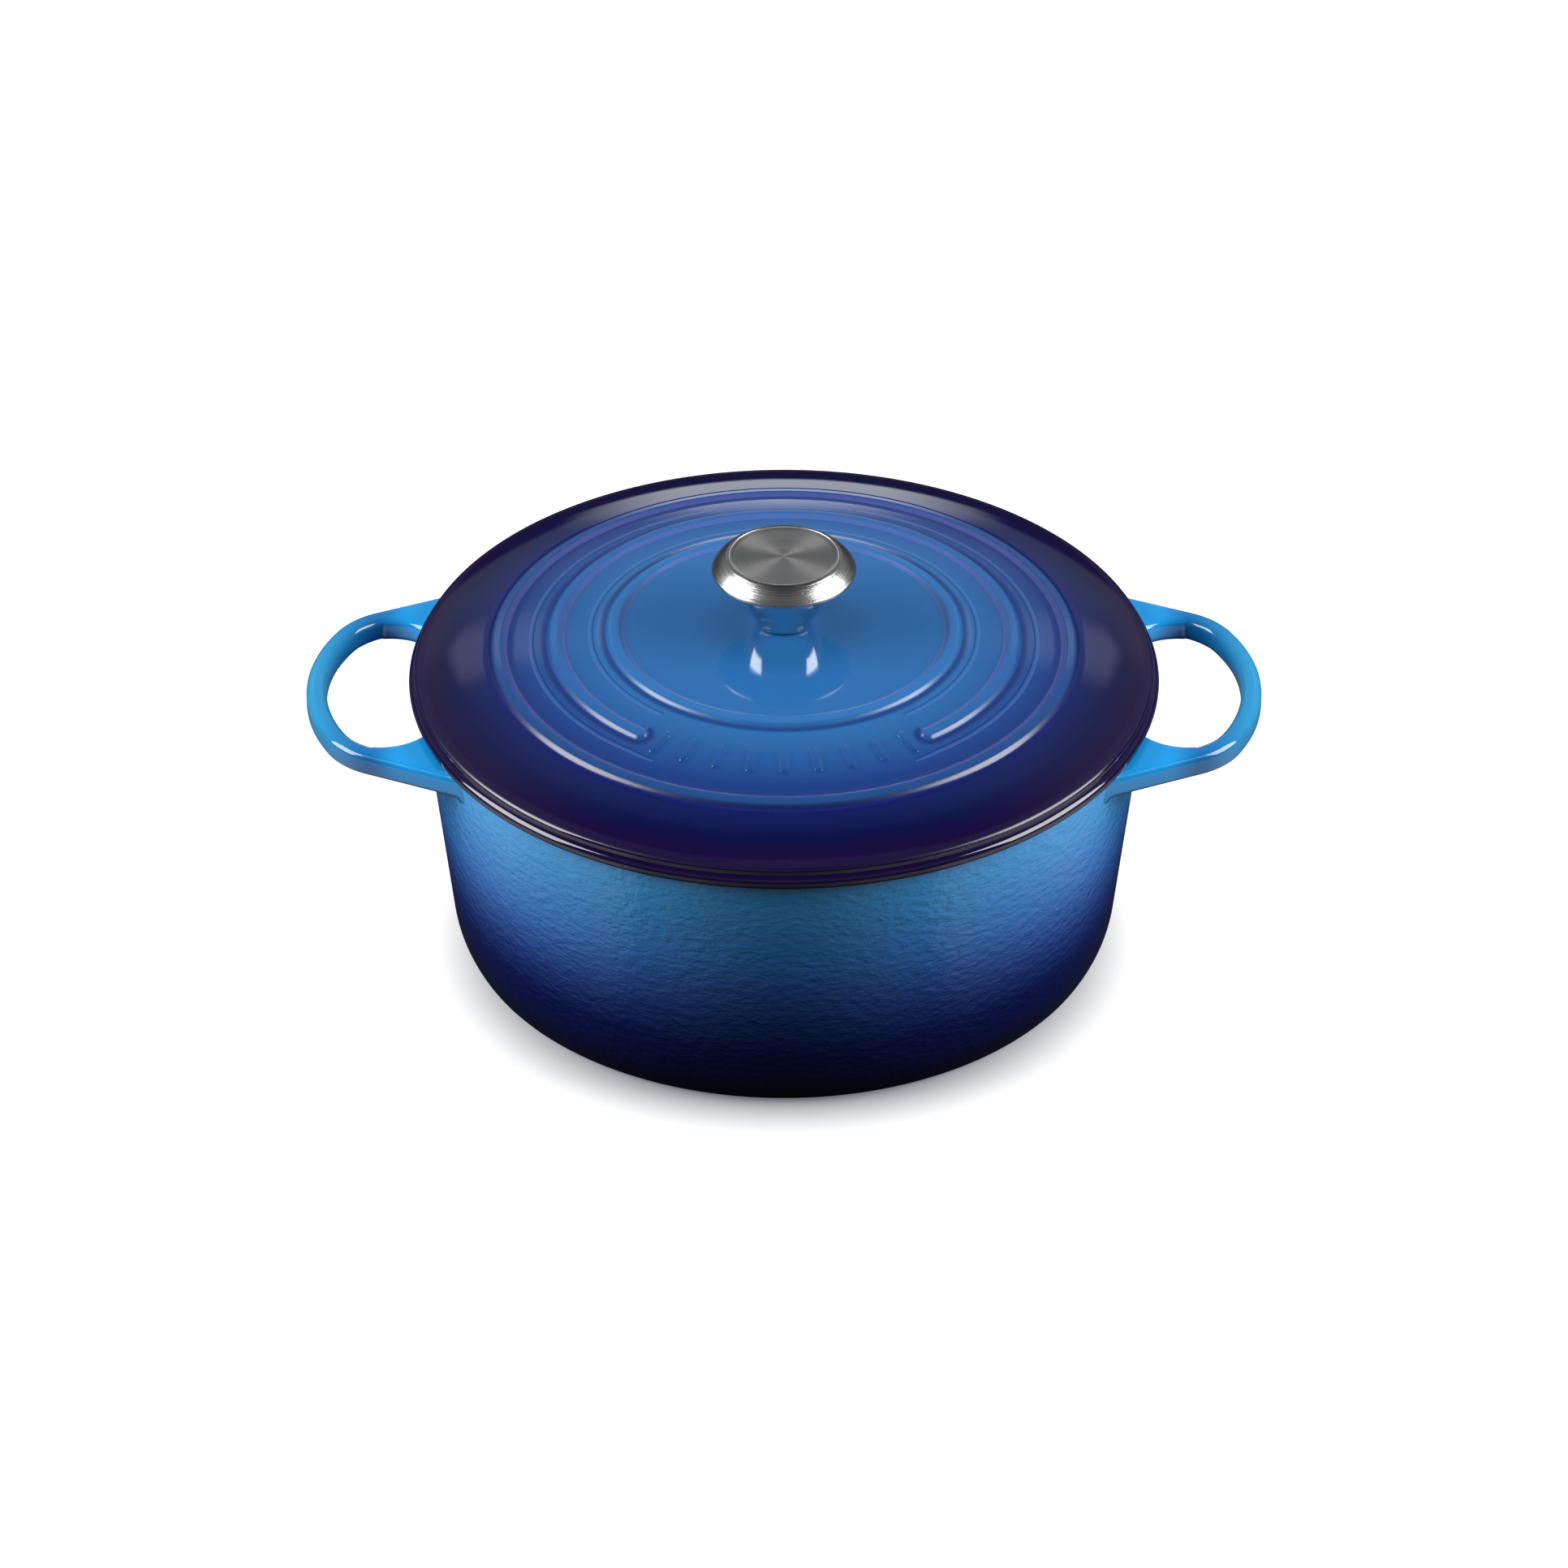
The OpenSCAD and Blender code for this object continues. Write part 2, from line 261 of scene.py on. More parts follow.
gleam_r = 0.8
gleam_z = 0.0004
wipe_selection()
bpy.ops.mesh.primitive_circle_add(
    vertices=96, radius=gleam_r, fill_type="NGON", location=(0, 0, gleam_z)
)
gleam = bpy.context.object
gleam.name = "painted_paper_reflection"
for ray in ("camera", "diffuse", "transmission", "shadow", "volume_scatter"):
    setattr(gleam, "visible_" + ray, False)
lit = Graph("painted_paper_reflection")
place = lit.coordinates()
across, ahead, _ = place.parts()
turned = across.bearing(ahead)
# Painted light in the sheet's glow: it is dark near the pot as a painted contact shadow, brighter
# to the sides and dimmer behind, as a painted reflection of the studio.
inner_light = lit.radius(place).step(0.146, 0.245)
side_light = turned.step(0, 28) * 0.3 + turned.step(33, 41) * 0.5 + 0.2
back_shade = 1 - turned.step(72, 108) * 0.92
shine = inner_light * side_light * back_shade
gleam.data.materials.append(
    lit.finish(
        Base_Color=(0, 0, 0),
        Roughness=1.0,
        Emission_Color=lit.mix(shine, (0, 0, 0), (0.96, 0.97, 1)),
        Emission_Strength=1.0,
    )
)

sky = bpy.data.worlds.new("studio")
bpy.context.scene.world = sky
air = Graph(sky.name, sky)
across, ahead, up = air.node("ShaderNodeTexCoord", output="Generated").parts()
level = (across * across + ahead * ahead).root()
turned = across.bearing(ahead)
lifted = up.math("ARCTAN2", up, level) * (180 / math.pi)
horizon = lifted.hump(4, 7, 11, 15) * turned.step(171, 177)
low_wall = lifted.hump(9, 13, 16, 28) * turned.step(60, 110)
strip = turned.hump(158, 162, 165, 170) * lifted.hump(24, 28, 31, 35)
ceiling = lifted.hump(14, 24, 44, 62)
glow = horizon * 1.9 + low_wall * 0.2 + strip * 0.5 + ceiling * 0.18 + 0.02
backdrop = air.node("ShaderNodeBackground", {"Color": (0.95, 0.97, 1, 1), "Strength": glow})
air.node("ShaderNodeOutputWorld", {"Surface": backdrop})
bpy.context.scene.view_settings.view_transform = "Standard"

# Pot body: an iron casting with a leaning wall, a round heel and a flat base,
# coated inside and out with glass enamel. Its ground rim is left matt.


class Template:
    """A lathe template: a line drawn from point to point in the XZ plane, and
    turned about Z."""

    def __init__(self, name, x, z):
        wipe_selection()
        bpy.ops.mesh.primitive_plane_add(size=0.001, location=(x, 0, z))
        self.piece = bpy.context.object
        self.piece.name = name
        bpy.ops.object.transform_apply(location=True)
        bpy.ops.object.mode_set(mode="EDIT")
        bpy.ops.mesh.select_mode(type="VERT")
        bpy.ops.mesh.select_all(action="SELECT")
        bpy.ops.mesh.merge(type="CENTER")
        self.x, self.z = x, z

    def line(self, x, z, steps=1):
        stride = ((x - self.x) / steps, 0, (z - self.z) / steps)
        for _ in range(steps):
            bpy.ops.mesh.extrude_vertices_move(TRANSFORM_OT_translate={"value": stride})
        self.x, self.z = x, z

    def arc(self, x, z, degrees, steps):
        """Round the centre (x, z), anticlockwise as seen from the front."""
        bpy.ops.mesh.spin(
            steps=steps, angle=math.radians(degrees), center=(x, 0, z), axis=(0, 1, 0)
        )
        turn = math.radians(degrees)
        dx, dz = self.x - x, self.z - z
        self.x = x + dx * math.cos(turn) - dz * math.sin(turn)
        self.z = z + dx * math.sin(turn) + dz * math.cos(turn)

    def turn(self, sweeps):
        bpy.ops.mesh.select_all(action="SELECT")
        for degrees, steps in sweeps:
            bpy.ops.mesh.spin(
                steps=steps, angle=math.radians(degrees), center=(0, 0, 0), axis=(0, 0, -1)
            )
        bpy.ops.mesh.select_all(action="SELECT")
        bpy.ops.mesh.remove_doubles(threshold=0.000004)
        bpy.ops.mesh.normals_make_consistent(inside=False)
        bpy.ops.object.mode_set(mode="OBJECT")
        bpy.ops.object.shade_smooth_by_angle(angle=math.radians(40))
        return self.piece


pot_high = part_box("pot")[1]
lid_low, lid_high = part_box("lid")
rim_z = pot_high.z
rim_r = pot_high.y
wall_lean = math.radians(6.4)
wall_t = 0.0038
floor_t = 0.0045
corner_r = 0.033
heel_r = 0.008
heel_angle = math.radians(29)
floor_bend_r = 0.018
rim_edge_r = 0.0012

corner_z = heel_r + (corner_r - heel_r) * math.sin(heel_angle)
corner_x = rim_r - math.tan(wall_lean) * (rim_z - corner_z) - corner_r / math.cos(wall_lean)
heel_x = corner_x + (corner_r - heel_r) * math.cos(heel_angle)
mouth_r = rim_r - wall_t / math.cos(wall_lean)
bend_z = floor_t + floor_bend_r
bend_x = mouth_r - math.tan(wall_lean) * (rim_z - bend_z) - floor_bend_r / math.cos(wall_lean)
heel_turn = 90 - math.degrees(heel_angle)
corner_turn = math.degrees(heel_angle - wall_lean)
bend_turn = 90 - math.degrees(wall_lean)
edge_out = rim_r - rim_edge_r * (1 + math.tan(wall_lean))
edge_in = mouth_r + rim_edge_r * (1 - math.tan(wall_lean))

wall = Template("pot_body", 0, 0)
wall.line(heel_x - 0.004, 0, 3)
wall.line(heel_x, 0)
wall.arc(heel_x, heel_r, heel_turn, 10)
wall.arc(corner_x, corner_z, corner_turn, 12)
wall.line(
    edge_out + rim_edge_r * math.cos(wall_lean), rim_z - rim_edge_r * (1 + math.sin(wall_lean)), 16
)
wall.arc(edge_out, rim_z - rim_edge_r, 90 + math.degrees(wall_lean), 6)
wall.line(edge_in, rim_z, 2)
wall.arc(edge_in, rim_z - rim_edge_r, bend_turn, 6)
wall.line(
    bend_x + floor_bend_r * math.cos(wall_lean), bend_z - floor_bend_r * math.sin(wall_lean), 14
)
wall.arc(bend_x, bend_z, -bend_turn, 12)
wall.line(0, floor_t, 8)
pot_body = wall.turn([(360, 288)])

# Glaze on the outside of the pot: clear azure at the rim, which the maker sprays
# over to navy and almost black at the base. The wall keeps a faint orange peel.
azure = (0.008, 0.235, 0.560)
sea = (0.006, 0.122, 0.400)
deep = (0.004, 0.060, 0.265)
dusk = (0.002, 0.022, 0.140)
night = (0.001, 0.005, 0.060)
soot = (0.003, 0.003, 0.020)


def outside_glaze(name, peel):
    glaze = Graph(name)
    place = glaze.coordinates()
    x, y, z = place.parts()
    cloud = glaze.node("ShaderNodeTexNoise", {"Vector": place, "Scale": 22.0, "Detail": 2.0})
    height = (z / rim_z + (cloud - 0.5) * 0.05).held()
    colour = glaze.node(
        "ShaderNodeValToRGB",
        {0: height},
        stops=[(0.08, soot), (0.26, night), (0.39, dusk), (0.52, deep), (0.64, sea), (0.90, azure)],
    )
    # On the handles the colour is painted darker where they run into the wall under the lid's edge,
    # as painted shade, and eases lighter towards the tips.
    reach = x.size()
    colour = glaze.mix(reach.step(0.146, 0.160), colour, (0.006, 0.105, 0.290))
    colour = glaze.mix(reach.step(0.158, 0.186), colour, (0.018, 0.205, 0.400))
    stretch = glaze.node("ShaderNodeMapping", {"Vector": place, "Scale": (1, 1, 1.8)})
    ripple = glaze.node("ShaderNodeTexNoise", {"Vector": stretch, "Scale": 210.0, "Detail": 2.0})
    fine = glaze.node("ShaderNodeTexNoise", {"Vector": stretch, "Scale": 700.0, "Detail": 1.0})
    skin = glaze.node(
        "ShaderNodeBump",
        {"Height": ripple + fine * 0.18, "Strength": peel, "Distance": 0.0006},
    )
    return glaze.finish(
        Base_Color=colour, Roughness=0.09 + cloud * 0.03, IOR=1.5, Normal=skin
    )


wall_glaze = outside_glaze("wall_glaze", 0.75)
handle_glaze = outside_glaze("handle_glaze", 0.05)

cream = Graph("cream_enamel")
place = cream.coordinates()
speck = cream.node("ShaderNodeTexNoise", {"Vector": place, "Scale": 900.0, "Detail": 1.0})
soft = cream.node("ShaderNodeTexNoise", {"Vector": place, "Scale": 30.0, "Detail": 2.0})
tone = cream.mix(soft.step(0.35, 0.7), (0.72, 0.63, 0.50), (0.78, 0.70, 0.57))
tone = cream.mix(speck.step(0.74, 0.78) * 0.25, tone, (0.40, 0.32, 0.24))
skin = cream.node("ShaderNodeBump", {"Height": soft, "Strength": 0.1, "Distance": 0.0006})
cream_enamel = cream.finish(Base_Color=tone, Roughness=0.16 + soft * 0.06, Normal=skin)

ground = Graph("matt_rim")
grit = ground.node("ShaderNodeTexNoise", {"Vector": ground.coordinates(), "Scale": 1500.0})
tone = ground.mix(grit, (0.012, 0.012, 0.013), (0.035, 0.034, 0.034))
skin = ground.node("ShaderNodeBump", {"Height": grit, "Strength": 0.25, "Distance": 0.0002})
matt_rim = ground.finish(Base_Color=tone, Roughness=0.5 + grit * 0.2, Normal=skin)


def coat(piece, materials, choose):
    """Gives each face the material that choose() picks from its middle."""
    for material in materials:
        piece.data.materials.append(material)
    for face in piece.data.polygons:
        middle = face.center
        face.material_index = choose(math.hypot(middle.x, middle.y), middle.z, face.normal)


def pot_coat(radius, z, normal):
    inner = mouth_r - math.tan(wall_lean) * (rim_z - z) + 0.0004
    if z > rim_z - 0.0008:
        return 2
    return 1 if z > floor_t - 0.001 and radius < inner else 0


coat(pot_body, [wall_glaze, cream_enamel, matt_rim], pot_coat)
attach(pot_body, "pot")
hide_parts("pot")

# Loop handles: cast with the pot, so each is a flat band with rounded edges that
# bends round from one root to the other and widens into the wall.
handle_tip = pot_high.x
band_w = 0.008
band_t = 0.010
band_edge_r = 0.003
band_top = rim_z - 0.001
tip_bend_r = 0.075
loop_corner_r = 0.027
tip_angle = math.radians(29)
leg_angle = math.radians(66)
gap_end_r = 0.020
root_flare = 0.003

tip_x = handle_tip - band_w / 2 - tip_bend_r
corner = Vector((tip_x, 0, 0)) + (tip_bend_r - loop_corner_r) * Vector(
    (math.cos(tip_angle), math.sin(tip_angle), 0)
)
leg_start = corner + loop_corner_r * Vector((math.cos(leg_angle), math.sin(leg_angle), 0))
leg_way = Vector((-math.sin(leg_angle), math.cos(leg_angle), 0))
leg_side = Vector((math.cos(leg_angle), math.sin(leg_angle), 0))
gap_centre = Vector((leg_start.x - 0.0045, 0, 0))
gap_centre.y = corner.y + (loop_corner_r - band_w / 2) * math.sin(leg_angle) - gap_end_r - 0.0002

wipe_selection()
bpy.ops.mesh.primitive_plane_add(size=band_w, location=(handle_tip - band_w / 2, 0, 0))
handles = bpy.context.object
handles.name = "loop_handles"
bpy.ops.object.transform_apply(location=True)
bpy.ops.object.mode_set(mode="EDIT")
bpy.ops.mesh.select_all(action="SELECT")
bpy.ops.transform.translate(value=(0, band_w / 2, 0))
bpy.ops.mesh.select_all(action="DESELECT")
plan = bmesh.from_edit_mesh(handles.data)
for vertex in list(plan.verts):
    if vertex.co.y > band_w / 2:
        plan.verts.remove(vertex)
for part in list(plan.verts) + list(plan.edges):
    part.select = True
bmesh.update_edit_mesh(handles.data)
bpy.ops.mesh.spin(steps=14, angle=tip_angle, center=(tip_x, 0, 0), axis=(0, 0, -1))
bpy.ops.mesh.spin(steps=18, angle=leg_angle - tip_angle, center=corner, axis=(0, 0, -1))
root_steps = 34
gap_from, gap_to = math.radians(82), math.radians(165)
leg_l = 0.045
for step in range(1, root_steps + 1):
    share = step / root_steps
    bpy.ops.mesh.extrude_region_move()
    plan = bmesh.from_edit_mesh(handles.data)
    ends = sorted((v for v in plan.verts if v.select), key=lambda v: v.co.length)
    turn = gap_from + (gap_to - gap_from) * share
    ends[0].co = gap_centre + gap_end_r * Vector((math.cos(turn), math.sin(turn), 0))
    ends[1].co = leg_start + leg_side * band_w / 2 + leg_way * leg_l * share
    bmesh.update_edit_mesh(handles.data)
bpy.ops.mesh.select_all(action="SELECT")
bpy.ops.transform.translate(value=(0, 0, band_top - band_t))
bpy.ops.mesh.extrude_region_move(TRANSFORM_OT_translate={"value": (0, 0, band_t)})
bpy.ops.mesh.select_all(action="SELECT")
bpy.ops.mesh.normals_make_consistent(inside=False)
bpy.ops.mesh.select_mode(type="EDGE")
bpy.ops.mesh.select_all(action="DESELECT")
bpy.ops.mesh.edges_select_sharp(sharpness=math.radians(60))
plan = bmesh.from_edit_mesh(handles.data)
for edge in plan.edges:
    first, last = (v.co for v in edge.verts)
    upright = abs(first.z - last.z) > band_t / 2
    at_tip = max(first.y, last.y) < 0.0001
    in_wall = max(math.hypot(v.x, v.y) for v in (first, last)) < 0.1392
    if upright or at_tip or in_wall and abs((first - last).length) > 0.01:
        edge.select = False
bmesh.update_edit_mesh(handles.data)
bpy.ops.mesh.bevel(offset=band_edge_r, segments=5, profile=0.5, affect="EDGES")
plan = bmesh.from_edit_mesh(handles.data)
for face in [f for f in plan.faces if max(v.co.y for v in f.verts) < 0.00001]:
    plan.faces.remove(face)
band_middle = band_top - band_t / 2
for vertex in plan.verts:
    co = vertex.co
    gap = math.hypot(co.x, co.y) - (rim_r - math.tan(wall_lean) * (rim_z - co.z))
    if gap < root_flare and co.x < leg_start.x:
        near = 1 - max(gap, 0) / root_flare
        swell = root_flare * (1 - math.sqrt(1 - near * near))
        reach = (co.z - band_middle) / (band_t / 2)
        co.z += swell * reach * (0.25 if reach > 0 else 1.0)
bmesh.update_edit_mesh(handles.data)
bpy.ops.object.mode_set(mode="OBJECT")
bpy.ops.object.modifier_add(type="MIRROR")
mirror = handles.modifiers[-1]
mirror.use_axis = (True, True, False)
mirror.merge_threshold = 0.00001
bpy.ops.object.modifier_apply(modifier=mirror.name)
bpy.ops.object.shade_smooth_by_angle(angle=math.radians(40))
handles.data.materials.append(handle_glaze)
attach(handles, "pot")
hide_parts("pot")

# Lid: a domed iron casting with three raised ribs, a rolled bead at its edge and
# a ring underneath that drops inside the rim. The middle rib stops short at the
# front, where a row of plain raised dashes fills the gap.
lid_r = lid_high.x
dome_h = 0.027
dome_r = 0.600
shoulder_r = 0.100
shoulder_w = 0.0205
lip_r = 0.0028
lid_edge_r = 0.0019
lid_t = 0.004
spigot_gap = 0.0014
spigot_t = 0.0034
spigot_edge_r = 0.0008
boss_r = 0.011
pad_r = 0.013
rib_radii = (0.0659, 0.0888, 0.1111)
rib_w = 0.0076
rib_h = 0.0015
rib_side = 0.0024
rib_gap = math.radians(38)
dash_count = 9
dash_pitch = math.radians(8)
dash_l = 0.014
dash_w = 0.0044
dash_h = 0.0009
dash_side = 0.0014

dome_centre = rim_z + dome_h - dome_r
shoulder_at = lid_r - shoulder_w
shoulder_x = shoulder_at * (1 - shoulder_r / dome_r)
shoulder_z = dome_centre + (dome_r - shoulder_r) * math.sqrt(1 - (shoulder_at / dome_r) ** 2)
screw_r = 0.0033


def eased(share):
    share = min(max(share, 0), 1)
    return share * share * (3 - 2 * share)


def rib_rise(distance):
    return rib_h * eased((rib_w / 2 - distance) / rib_side)


def dome_z(radius):
    if radius < shoulder_at:
        plain = dome_centre + math.sqrt(dome_r**2 - radius**2)
        return plain + sum(rib_rise(abs(radius - rib_radii[i])) for i in (0, 2))
    return shoulder_z + math.sqrt(shoulder_r**2 - (radius - shoulder_x) ** 2)


pad_z = dome_z(pad_r)
# The rings of the lid's top, close together over the ribs and on the shoulder.
rings = {0.018, 0.026, 0.034, 0.042, 0.050, 0.056, 0.061, 0.0735, 0.0775, 0.1005, 0.104}
for radius in (rib_radii[0], rib_radii[2]):
    rings |= {radius + side * rib_w / 2 * share / 8 for side in (-1, 1) for share in range(9)}
rings |= {rib_radii[1] - 0.0075 + 0.0006 * i for i in range(26)}
rings |= {0.1175, 0.1205, 0.1225}
rings |= {shoulder_at + 0.0012 * i for i in range(14)}

edge_at = lid_r - 0.0022 - lid_edge_r
edge_slope = math.asin((edge_at - shoulder_x) / (shoulder_r - lid_edge_r))
edge_x = shoulder_x + (shoulder_r - lid_edge_r) * math.sin(edge_slope)
edge_z = shoulder_z + (shoulder_r - lid_edge_r) * math.cos(edge_slope)
spigot_r = mouth_r - spigot_gap
spigot_in = spigot_r - spigot_t
inner_r = dome_r - lid_t
boss_z = dome_centre + math.sqrt(inner_r**2 - boss_r**2) - 0.0004
bead_x, bead_z = lid_r - lip_r, rim_z + lip_r

top = Template("lid_casting", screw_r, pad_z)
top.line(pad_r, pad_z, 3)
for radius in sorted(rings):
    if radius < edge_x + lid_edge_r * math.sin(edge_slope) - 0.0006:
        top.line(radius, dome_z(radius))
top.line(edge_x + lid_edge_r * math.sin(edge_slope), edge_z + lid_edge_r * math.cos(edge_slope))
top.arc(edge_x, edge_z, -(90 - math.degrees(edge_slope)), 7)
top.line(edge_x + lid_edge_r, bead_z + lip_r * 0.97)
top.line(bead_x + lip_r * math.cos(math.radians(75)), bead_z + lip_r * math.sin(math.radians(75)))
top.arc(bead_x, bead_z, -165, 14)
top.line(spigot_r, rim_z, 4)
top.line(spigot_r, lid_low.z + spigot_edge_r, 3)
top.arc(spigot_r - spigot_edge_r, lid_low.z + spigot_edge_r, -90, 4)
top.line(spigot_in + spigot_edge_r, lid_low.z, 2)
top.arc(spigot_in + spigot_edge_r, lid_low.z + spigot_edge_r, -90, 4)
top.line(spigot_in, dome_centre + math.sqrt(inner_r**2 - spigot_in**2), 5)
for i in range(1, 17):
    radius = spigot_in + (boss_r - spigot_in) * i / 16
    top.line(radius, dome_centre + math.sqrt(inner_r**2 - radius**2))
top.line(boss_r, boss_z)
top.line(screw_r, boss_z, 3)
top.line(screw_r, pad_z, 2)
lid = top.turn([(225, 150), (90, 300), (45, 30)])

# The middle rib and the dashes aren't closed rings, so they are raised afterwards.
# across_rib is how far a point is from the middle of its nearest rib, in half
# widths of a rib.
middle_reach = 0.0085
top_side_z = rim_z + 0.012
raised = lid.vertex_groups.new(name="raised")
rib_end = (rib_radii[1] * math.sin(rib_gap), rib_radii[1] * math.cos(rib_gap))
across_rib = []
for vertex in lid.data.vertices:
    x, y, z = vertex.co
    radius = math.hypot(x, y)
    turn = math.atan2(x, -y)
    from_middle = radius - rib_radii[1]
    if abs(turn) < rib_gap:
        from_middle = math.hypot(abs(x) - rib_end[0], -y - rib_end[1])
    offsets = (radius - rib_radii[0], from_middle, radius - rib_radii[2])
    across_rib.append(min(offsets, key=abs) / (rib_w / 2))
    if abs(radius - rib_radii[1]) > middle_reach or z < max(top_side_z, dome_z(radius) - 0.001):
        continue
    rise = rib_rise(abs(from_middle))
    nearest = round(turn / dash_pitch)
    if abs(nearest) <= dash_count // 2:
        off = radius * math.sin(turn - nearest * dash_pitch)
        along = abs(radius * math.cos(turn - nearest * dash_pitch) - rib_radii[1])
        distance = math.hypot(max(along - (dash_l - dash_w) / 2, 0), off)
        rise = max(rise, dash_h * eased((dash_w / 2 - distance) / dash_side))
    if rise > 0:
        raised.add([vertex.index], rise / rib_h, "REPLACE")
lid.data.attributes.new("across_rib", "FLOAT", "POINT").data.foreach_set("value", across_rib)
wipe_selection()
lid.select_set(True)
bpy.context.view_layer.objects.active = lid
bpy.ops.object.modifier_add(type="DISPLACE")
raise_up = lid.modifiers[-1]
raise_up.direction = "Z"
raise_up.strength = rib_h
raise_up.mid_level = 0
raise_up.vertex_group = raised.name
bpy.ops.object.modifier_move_to_index(modifier=raise_up.name, index=0)
bpy.ops.object.modifier_apply(modifier=raise_up.name)
lid.vertex_groups.clear()

glaze = Graph("lid_glaze")
place = glaze.coordinates()
cloud = glaze.node("ShaderNodeTexNoise", {"Vector": place, "Scale": 14.0, "Detail": 2.0})
share = (glaze.radius(place) / lid_r + (cloud - 0.5) * 0.03).held()
colour = glaze.node(
    "ShaderNodeValToRGB",
    {0: share},
    stops=[
        (0.0, (0.014, 0.090, 0.250)),
        (0.50, (0.014, 0.088, 0.245)),
        (0.62, (0.010, 0.055, 0.185)),
        (0.70, (0.006, 0.030, 0.140)),
        (0.80, (0.003, 0.008, 0.065)),
        (0.89, (0.002, 0.003, 0.035)),
        (0.95, (0.006, 0.002, 0.026)),
    ],
)

# Painted light on the ribs: each rib's crest is painted lighter, its inner edge carries a
# pale painted highlight, and a painted shade runs dark along its outer foot.
offset = glaze.node("ShaderNodeAttribute", output="Fac", attribute_name="across_rib")
width = offset.size()
rib_crest_highlight = 1 - width.step(0.35, 0.75)
slope = width.hump(0.2, 0.5, 1.05, 1.4)
edge = share.hump(0.952, 0.962, 0.982, 0.986)
rib_edge_highlight = (-offset).hump(0.4, 0.65, 0.9, 1.15)
rib_foot_shade = offset.hump(0.7, 1.0, 1.2, 1.7)
colour = glaze.mix(rib_crest_highlight * 0.2, colour, (0.030, 0.150, 0.380))
colour = glaze.mix(rib_foot_shade * 0.65, colour, (0.003, 0.006, 0.085))
colour = glaze.mix(rib_edge_highlight * 0.28, colour, (0.120, 0.130, 0.400))
ripple = glaze.node("ShaderNodeTexNoise", {"Vector": place, "Scale": 60.0, "Detail": 1.0})
skin = glaze.node("ShaderNodeBump", {"Height": ripple, "Strength": 0.04, "Distance": 0.0006})
lid_glaze = glaze.finish(
    Base_Color=colour,
    Roughness=0.05 + cloud * 0.03 + slope * 0.20 + edge * 0.2,
    IOR=1.5,
    Normal=skin,
)


def lid_coat(radius, z, normal):
    if z < rim_z + 0.0003 and radius < lid_r - 0.0015:
        return 2
    return 1 if normal.z < -0.2 and radius < spigot_r else 0


coat(lid, [lid_glaze, cream_enamel, matt_rim], lid_coat)
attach(lid, "lid")
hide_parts("lid")

# Knob cap: pressed stainless steel. Its sunken disc and bevel are brushed in
# circles, and its edge is rolled under to meet the neck.
cap_low, cap_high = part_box("knob_cap")
knob_top = cap_high.z
knob_r = cap_high.x
disc_r = 0.0212
disc_drop = 0.0005
disc_land = 0.0007
bevel_h = 0.0064
bevel_swell = 0.0006
knob_edge_r = 0.0012
neck_top_r = 0.017

edge_height = knob_top - bevel_h
cap = Template("knob_top", 0, knob_top - disc_drop)
cap.line(disc_r - 0.0004, knob_top - disc_drop, 10)
cap.line(disc_r, knob_top - disc_drop + 0.0002)
cap.line(disc_r + 0.0001, knob_top - 0.0001)
cap.line(disc_r + 0.0003, knob_top)
cap.line(disc_r + disc_land, knob_top)
corner_in = (disc_r + disc_land, knob_top)
corner_out = (
    knob_r - knob_edge_r * (1 - math.cos(math.radians(45))),
    edge_height + knob_edge_r * math.sin(math.radians(45)),
)
for i in range(1, 11):
    share = i / 10
    bulge = bevel_swell * math.sin(math.pi * share) ** 0.8
    cap.line(
        corner_in[0] + (corner_out[0] - corner_in[0]) * share + bulge * 0.7,
        corner_in[1] + (corner_out[1] - corner_in[1]) * share + bulge * 0.7,
    )
cap.arc(knob_r - knob_edge_r, edge_height, -135, 8)
cap.line(neck_top_r, cap_low.z, 5)
cap.line(0.012, cap_low.z)
cap.line(0, cap_low.z)
knob_cap = cap.turn([(360, 144)])



def brushed_steel(name, roughness, grain):
    """Steel brushed in circles. grain is how far the brushing draws out highlights."""
    brushed = Graph(name)
    place = brushed.coordinates()
    ring_place = brushed.node(
        "ShaderNodeCombineXYZ", {0: brushed.radius(place), 1: place.parts()[2]}
    )
    lathe_line = brushed.node("ShaderNodeTexNoise", {"Vector": ring_place, "Scale": 2600.0})
    patch = brushed.node("ShaderNodeTexNoise", {"Vector": place, "Scale": 60.0})
    tone = brushed.mix(lathe_line, (0.40, 0.40, 0.40), (0.60, 0.595, 0.59))
    skin = brushed.node(
        "ShaderNodeBump", {"Height": lathe_line, "Strength": 1.0, "Distance": 0.00016}
    )
    return brushed.finish(
        Base_Color=tone,
        Metallic=1.0,
        Roughness=roughness + patch * 0.06,
        Anisotropic=grain,
        Normal=skin,
    )


bevel_steel = brushed_steel("brushed_bevel", 0.22, 0.0)
disc_steel = brushed_steel("brushed_disc", 0.32, 0.8)
coat(
    knob_cap,
    [bevel_steel, disc_steel],
    lambda radius, z, normal: int(radius < disc_r and z > edge_height),
)
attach(knob_cap, "lid")
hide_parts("knob_cap")

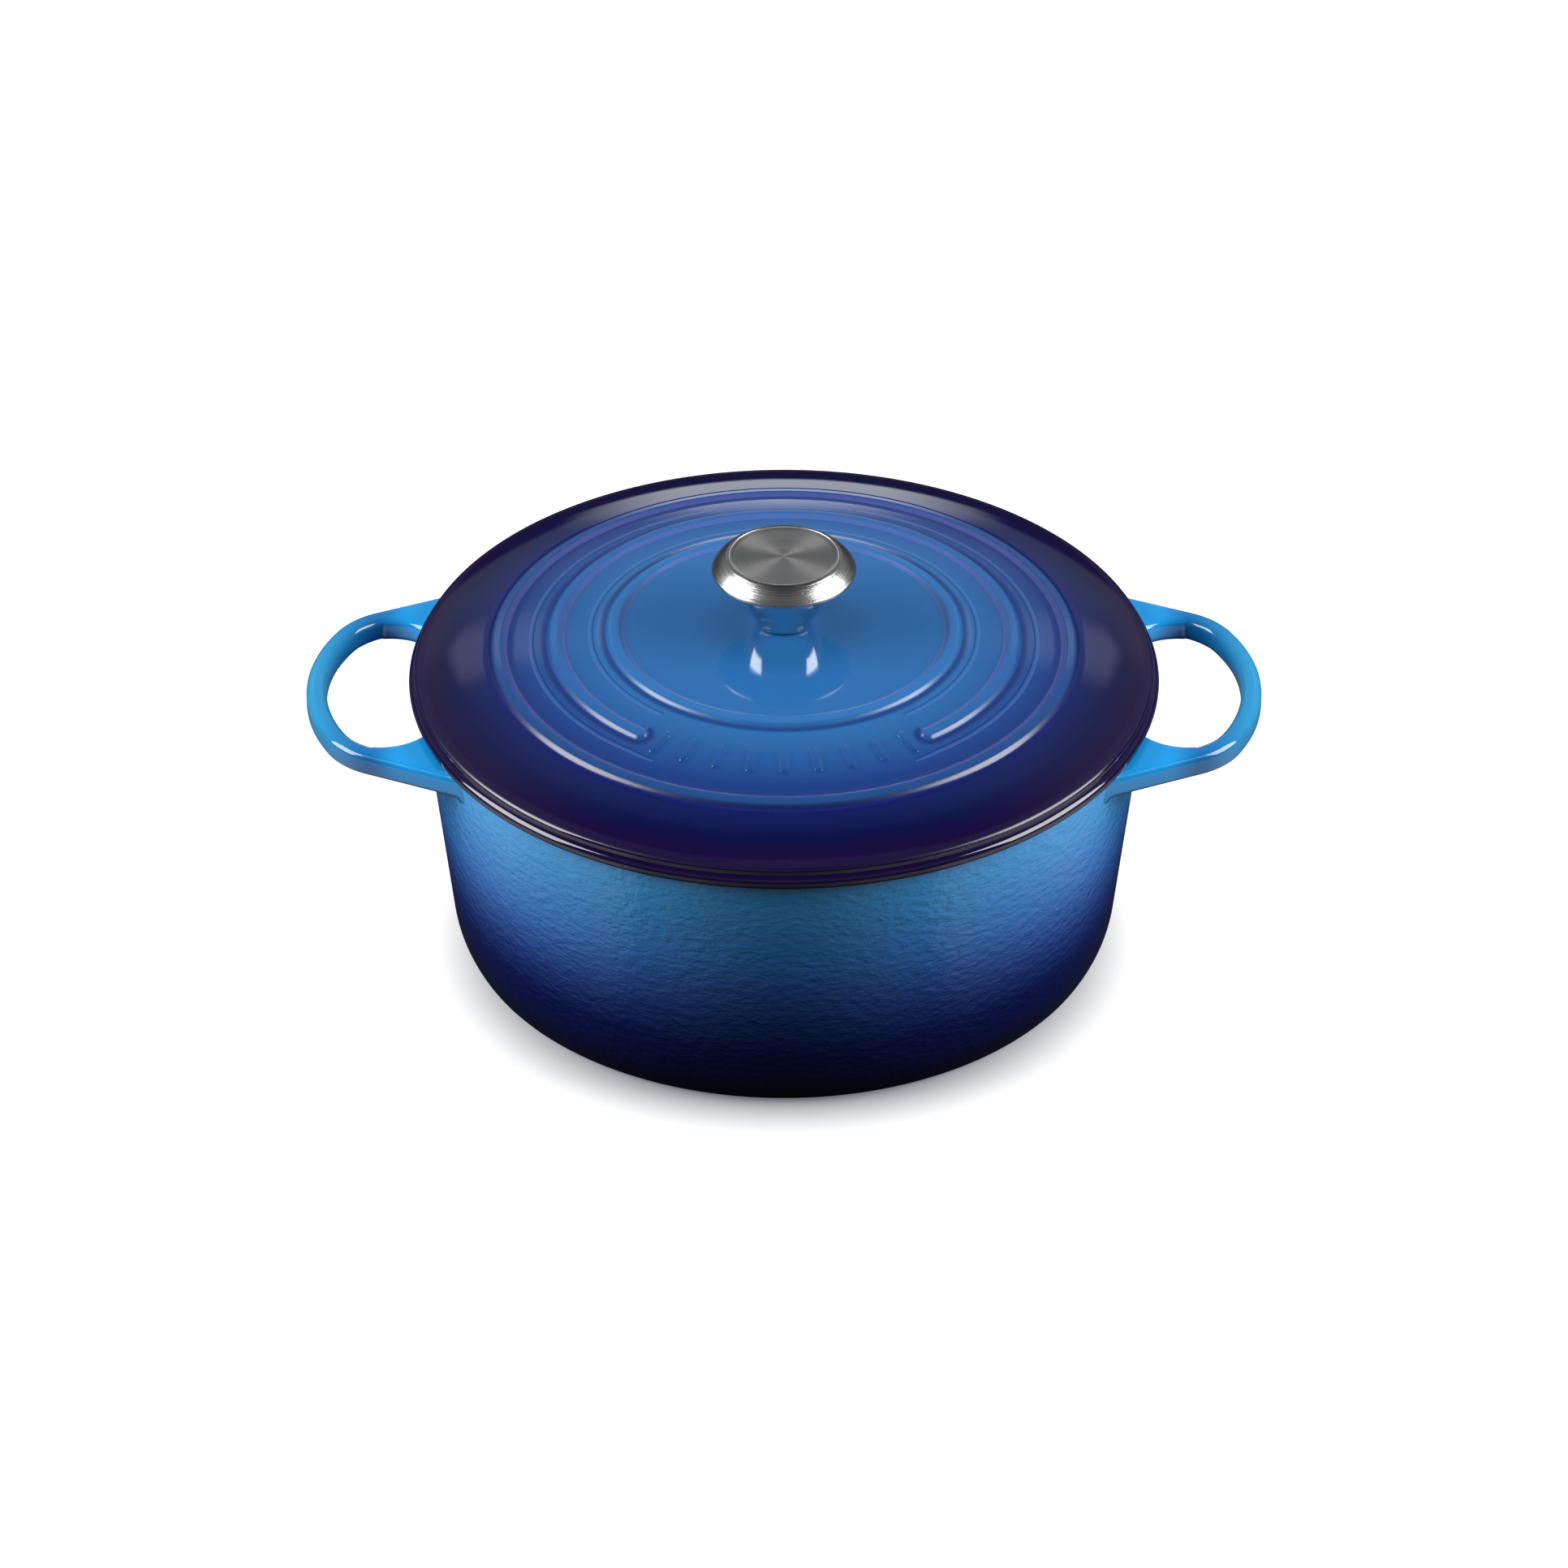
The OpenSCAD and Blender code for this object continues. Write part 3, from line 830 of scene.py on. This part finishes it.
# Knob neck: a turned and polished steel cone that stands on the middle of the lid.
neck_low, neck_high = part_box("knob_neck")
neck_foot_r = 0.0113
neck_edge_r = 0.0023
neck_swell = 0.0009

stem = Template("knob_stem", screw_r, neck_low.z)
stem.line(neck_foot_r - neck_edge_r, neck_low.z, 2)
stem.arc(neck_foot_r - neck_edge_r, neck_low.z + neck_edge_r, 80, 8)
foot = (stem.x, stem.z)
for i in range(1, 17):
    share = i / 16
    stem.line(
        foot[0] + (neck_high.x - foot[0]) * share + neck_swell * math.sin(math.pi * share),
        foot[1] + (neck_high.z - foot[1]) * share,
    )
stem.line(screw_r, neck_high.z, 4)
stem.line(screw_r, neck_low.z, 3)
knob_neck = stem.turn([(360, 128)])
polished = Graph("polished_steel")
place = polished.coordinates()
z = place.parts()[2]
haze = polished.node("ShaderNodeTexNoise", {"Vector": place, "Scale": 180.0, "Detail": 3.0})
ring_place = polished.node("ShaderNodeCombineXYZ", {2: z * 4000})
ring = polished.node("ShaderNodeTexNoise", {"Vector": ring_place})
tone = polished.mix(haze, (0.66, 0.67, 0.69), (0.78, 0.79, 0.81))
skin = polished.node("ShaderNodeBump", {"Height": ring, "Strength": 0.12, "Distance": 0.00003})
polished_steel = polished.finish(
    Base_Color=tone, Metallic=1.0, Roughness=0.07 + haze * 0.06, Normal=skin
)
knob_neck.data.materials.append(polished_steel)
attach(knob_neck, "lid")
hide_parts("knob_neck")

# Screw, washer and bush: the screw comes up through the lid from below and pulls
# the knob down. They keep their modelled shape.
for name in ("knob_screw", "screw_washer"):
    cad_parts[name].data.materials.clear()
    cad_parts[name].data.materials.append(polished_steel)
yellow = Graph("turned_brass")
grain = yellow.node("ShaderNodeTexNoise", {"Vector": yellow.coordinates(), "Scale": 400.0})
tone = yellow.mix(grain, (0.60, 0.46, 0.20), (0.74, 0.60, 0.30))
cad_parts["knob_bush"].data.materials.clear()
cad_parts["knob_bush"].data.materials.append(
    yellow.finish(Base_Color=tone, Metallic=1.0, Roughness=0.25 + grain * 0.1)
)
